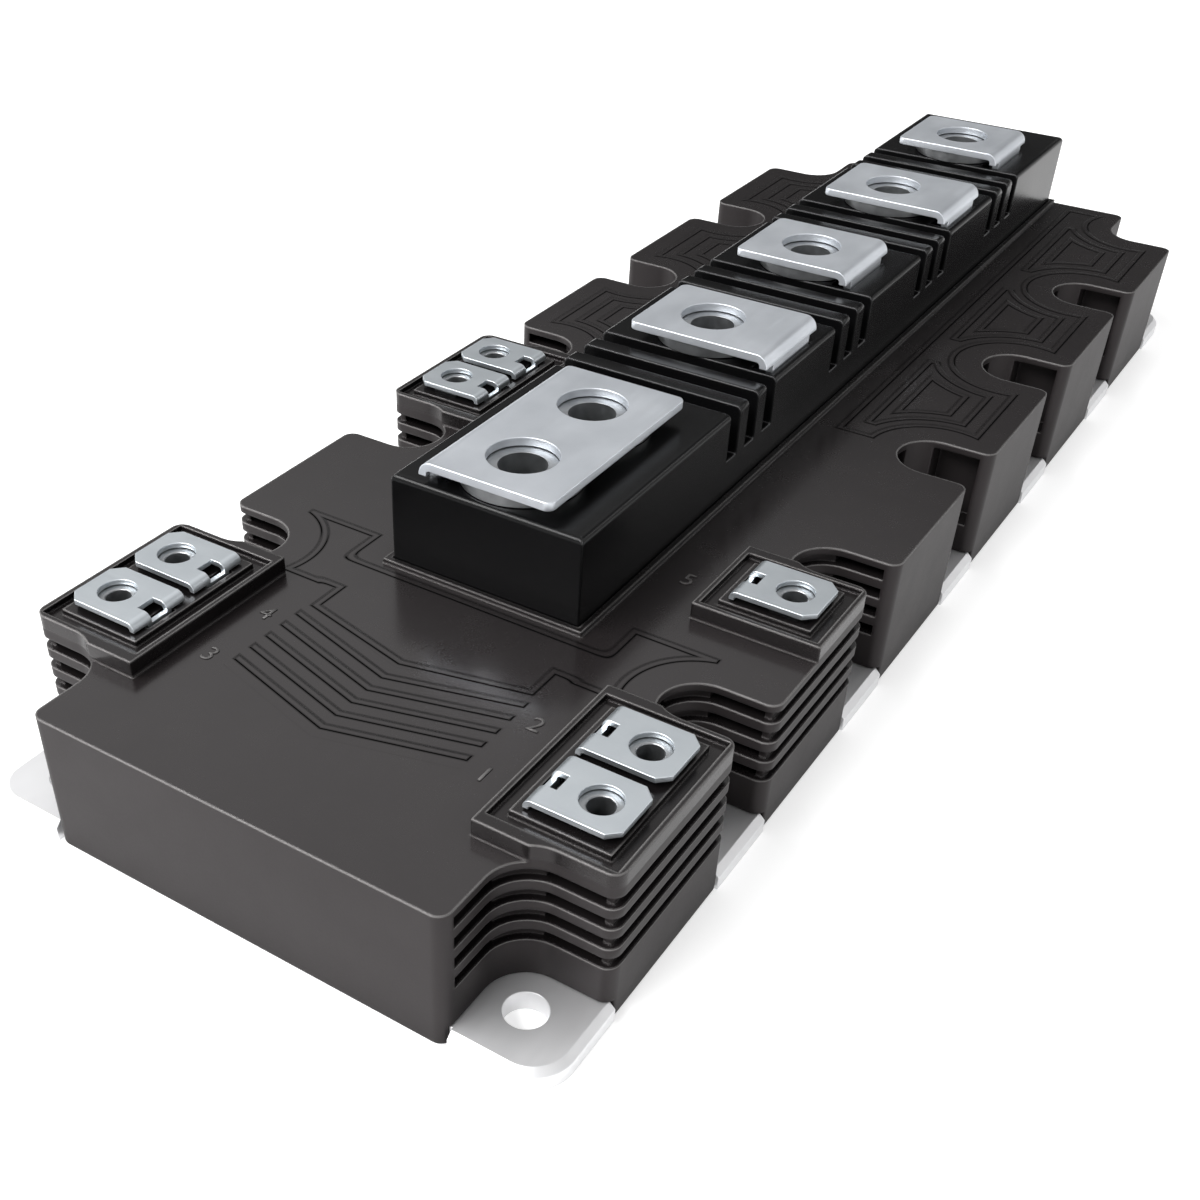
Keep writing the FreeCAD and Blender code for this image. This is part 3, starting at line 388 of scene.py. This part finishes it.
# Painted highlight: the base colour turns pale grey along edges that face up and lie in the open.
moulding.feed("Base Color", moulding.blend(0.9 * painted_edge_highlight, toned, colour(0.19, 0.185, 0.182)))
moulding.feed("Roughness", 0.46 + 0.10 * handling + 0.06 * erosion - 0.28 * most(polish, raised))
moulding.feed("Coat Weight", (0.50 + 0.2 * handling) * polish * (1.0 - 0.6 * raised))
grained = moulding.bump(erosion, 0.010 * MM, 0.6, turned)
moulding.feed("Normal", moulding.bump(rib, RIB_HEIGHT * MM, 1.0, grained))
# Painted shade: a dull near-black surface covers the rib flanks and the hollows that ambient occlusion
# finds.
moulding.hide(most(shade, 0.75 * hollow_shade * hollow_shade), grey(0.002))
dress(["housing"], moulding, 0.40 * MM)

# Raised figures on the deck, from the same moulding, number the control terminals.
CONTROL_TERMINALS = range(1, 8)
FIGURE_ROW = 21.3
FIGURE_SIZE = 4.0
FIGURE_RELIEF = 0.10
for number in CONTROL_TERMINALS:
    low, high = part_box("control_terminal_%d" % number)
    side = 1 if low[1] > 0 else -1
    figure = bpy.data.curves.new("figure_%d" % number, "FONT")
    figure.body = str(number)
    figure.size = FIGURE_SIZE * MM
    figure.extrude = FIGURE_RELIEF * MM
    figure.align_x = "CENTER"
    figure.align_y = "CENTER"
    figure.materials.append(moulding.material)
    mark = bpy.data.objects.new("figure_%d" % number, figure)
    bpy.context.scene.collection.objects.link(mark)
    mark.location = ((low[0] + high[0]) / 2, side * FIGURE_ROW * MM, DECK * MM)
    mark.rotation_euler = (0, 0, -math.pi / 2)
    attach(mark, "root")

# Edge seal. A bead of grey silicone in the joint between the housing and the plate, laid as a
# paste and cured there.
silicone = Finish("cured_silicone", Roughness=0.5)
skin = silicone.noise(2 * MM, 3.0)
silicone.feed("Base Color", silicone.blend(skin, colour(0.50, 0.50, 0.48), colour(0.60, 0.60, 0.58)))
silicone.feed("Normal", silicone.bump(skin, 0.05 * MM))
dress(["edge_seal"], silicone, 0.03 * MM, 1)

# Raised block. A second moulding, near black and smoother, which carries the power terminals and
# their nuts. Slots between the terminals lengthen the path that a leakage current would take.
block = Moulding("block_moulding", Specular_IOR_Level=0.16, IOR=1.5)
block_flow = block.noise(20 * MM, 4.0)
block_grain = block.noise(0.30 * MM, 3.0)
block_edge_highlight, block_turned = block.wear(0.40 * MM)
block_body = block.blend(block_flow, colour(0.0020, 0.0020, 0.0022), colour(0.0032, 0.0032, 0.0034))
# Painted highlight: the base colour turns pale grey along the block's edges that face up.
block.feed("Base Color", block.blend(0.9 * block_edge_highlight, block_body, colour(0.14, 0.14, 0.145)))
block.feed("Roughness", 0.17 + 0.10 * block_flow + 0.05 * block_grain)
block.feed("Normal", block.bump(block_grain, 0.002 * MM, 0.6, block_turned))
dress(["terminal_block"], block, 0.25 * MM)

# Power copper. Each polarity is one stamping of 1.3 mm copper sheet, tinned, with terminals bent
# flat over the nuts. The rolling grain runs along the sheet.
tinned = Finish("tinned_copper", Metallic=0.92)
rolling = tinned.noise(0.6 * MM, 3.0, (0.04, 1, 1))
cloud = tinned.noise(10 * MM, 4.0)
tinned.feed("Base Color", tinned.blend(tinned.ramp(cloud, (0.3, 0.0), (0.75, 1.0)),
                                       colour(0.60, 0.63, 0.67), colour(0.71, 0.74, 0.78)))
tinned.feed("Roughness", 0.38 + 0.10 * rolling + 0.08 * cloud)
tinned.feed("Normal", tinned.bump(rolling, 0.003 * MM))
dress(["ac_busbar", "dc_plus_busbar", "dc_minus_busbar"], tinned, 0.15 * MM)

# Insulating strip. Pale insulating sheet, cut to a long strip. It stands between the two supply
# rails, which run side by side on their edges.
paper = Finish("insulating_film", Roughness=0.5)
fibre = paper.noise(2 * MM, 4.0, (0.2, 1, 1))
paper.feed("Base Color", paper.blend(fibre, colour(0.70, 0.66, 0.55), colour(0.80, 0.77, 0.68)))
dress(["busbar_insulator"], paper, 0.03 * MM, 1)

# Control terminals. Tinned bronze strip, cut and bent in one tool. Each lies on a socket of the
# housing, over its own captive nut.
strip = Finish("tinned_strip", Metallic=1.0)
strip_grain = strip.noise(0.5 * MM, 2.0, (1, 0.06, 1))
strip_cloud = strip.noise(4 * MM, 3.0)
strip.feed("Base Color", strip.blend(strip_cloud, colour(0.60, 0.645, 0.68), colour(0.70, 0.74, 0.77)))
strip.feed("Roughness", 0.34 + 0.12 * strip_grain + 0.06 * strip_cloud)
strip.feed("Normal", strip.bump(strip_grain, 0.003 * MM))
dress(["control_terminal_%d" % number for number in CONTROL_TERMINALS], strip, 0.10 * MM)

# Nuts. Cold-formed steel with a zinc coat. The terminals hold them in their pockets, six in the
# block and seven in the sockets.
zinc = Finish("zinc_steel", Metallic=1.0)
coat = zinc.noise(1.5 * MM, 4.0)
zinc.feed("Base Color", zinc.blend(coat, colour(0.30, 0.31, 0.32), colour(0.46, 0.47, 0.48)))
zinc.feed("Roughness", 0.32 + 0.16 * coat)
dress(["power_nuts", "control_nuts"], zinc, 0.25 * MM)

# Floor. A pale table top in a studio, large enough to fill the view.
FLOOR_HALF = 4.0
floor_mesh = bpy.data.meshes.new("floor")
shape = bmesh.new()
bmesh.ops.create_grid(shape, x_segments=4, y_segments=4, size=FLOOR_HALF)
shape.to_mesh(floor_mesh)
shape.free()
floor = bpy.data.objects.new("floor", floor_mesh)
bpy.context.scene.collection.objects.link(floor)
pale = Finish("pale_table", Roughness=0.6, Specular_IOR_Level=0.2, Emission_Strength=0.55,
              Emission_Color=grey(1.0))
pale.feed("Base Color", pale.blend(pale.noise(0.3), grey(0.68), grey(0.70)))
floor.data.materials.append(pale.material)

# Light. The surroundings are bright overhead and near the horizon, with a dark band between. A
# wide lamp stands at the front left, and a weak one behind at the right.
SKY_LEAN = 0.25
SKY_TURN = 0.3
world = bpy.data.worlds.new("studio")
bpy.context.scene.world = world
world.use_nodes = True
sky = Shading(world.node_tree, "Background")
sky.shader.inputs["Strength"].default_value = 1.0
direction = sky.node("ShaderNodeTexCoord", output="Generated")
height = sky.part(direction, "Z") + SKY_LEAN * sky.part(direction, "Y")
near_side = sky.ramp(height, (0.0, 1.4), (0.35, 1.0), (0.55, 0.2), (0.95, 0.6))
far_side = sky.ramp(height, (0.0, 0.90), (0.10, 0.50), (0.24, 0.08), (0.40, 0.02), (0.48, 0.05),
                    (0.57, 0.30), (0.69, 0.76), (0.81, 0.95), (0.94, 1.0))
farther = sky.fade(sky.part(direction, "X"), -SKY_TURN, SKY_TURN)
sky.feed("Color", sky.blend(farther, near_side, far_side))

MODULE_MIDDLE = Vector((0, 0, 0.02))


def softbox(name, place, size, power):
    """Rectangular lamp that points at the middle of the module."""
    lamp = bpy.data.lights.new(name, "AREA")
    lamp.shape = "RECTANGLE"
    lamp.size, lamp.size_y = size
    lamp.energy = power
    stand = bpy.data.objects.new(name, lamp)
    bpy.context.scene.collection.objects.link(stand)
    stand.location = place
    stand.rotation_mode = "QUATERNION"
    stand.rotation_quaternion = (MODULE_MIDDLE - Vector(place)).to_track_quat("-Z", "Y")


softbox("key", place=(-0.72, 0.48, 0.83), size=(1.20, 0.30), power=24.0)
softbox("rim", place=(0.82, -0.68, 0.54), size=(0.60, 0.12), power=1.2)

# Camera. Its place, turn and lens were fitted to the photograph, whose middle lies off the
# lens's own axis.
CAMERA_PLACE = (-0.21104, -0.09380, 0.13169)
CAMERA_YAW = math.radians(33.898)
CAMERA_PITCH = math.radians(39.883)
CAMERA_ROLL = math.radians(0.259)
FOCAL_LENGTH = 44.0906
LENS_SHIFT = (0.09661, 0.13488)
ahead = Vector((math.cos(CAMERA_PITCH) * math.cos(CAMERA_YAW),
                math.cos(CAMERA_PITCH) * math.sin(CAMERA_YAW), -math.sin(CAMERA_PITCH)))
level_right = Vector((math.sin(CAMERA_YAW), -math.cos(CAMERA_YAW), 0.0))
level_up = level_right.cross(ahead)
right = math.cos(CAMERA_ROLL) * level_right + math.sin(CAMERA_ROLL) * level_up
up = right.cross(ahead)
lens = bpy.data.cameras.new("camera")
lens.sensor_width = 36.0
lens.lens = FOCAL_LENGTH
lens.shift_x, lens.shift_y = LENS_SHIFT
lens.clip_start = 0.01
lens.clip_end = 20.0
camera = bpy.data.objects.new("camera", lens)
bpy.context.scene.collection.objects.link(camera)
camera.matrix_world = Matrix.Translation(CAMERA_PLACE) @ Matrix((right, up, -ahead)).transposed().to_4x4()
bpy.context.scene.camera = camera
bpy.context.scene.view_settings.view_transform = "Standard"
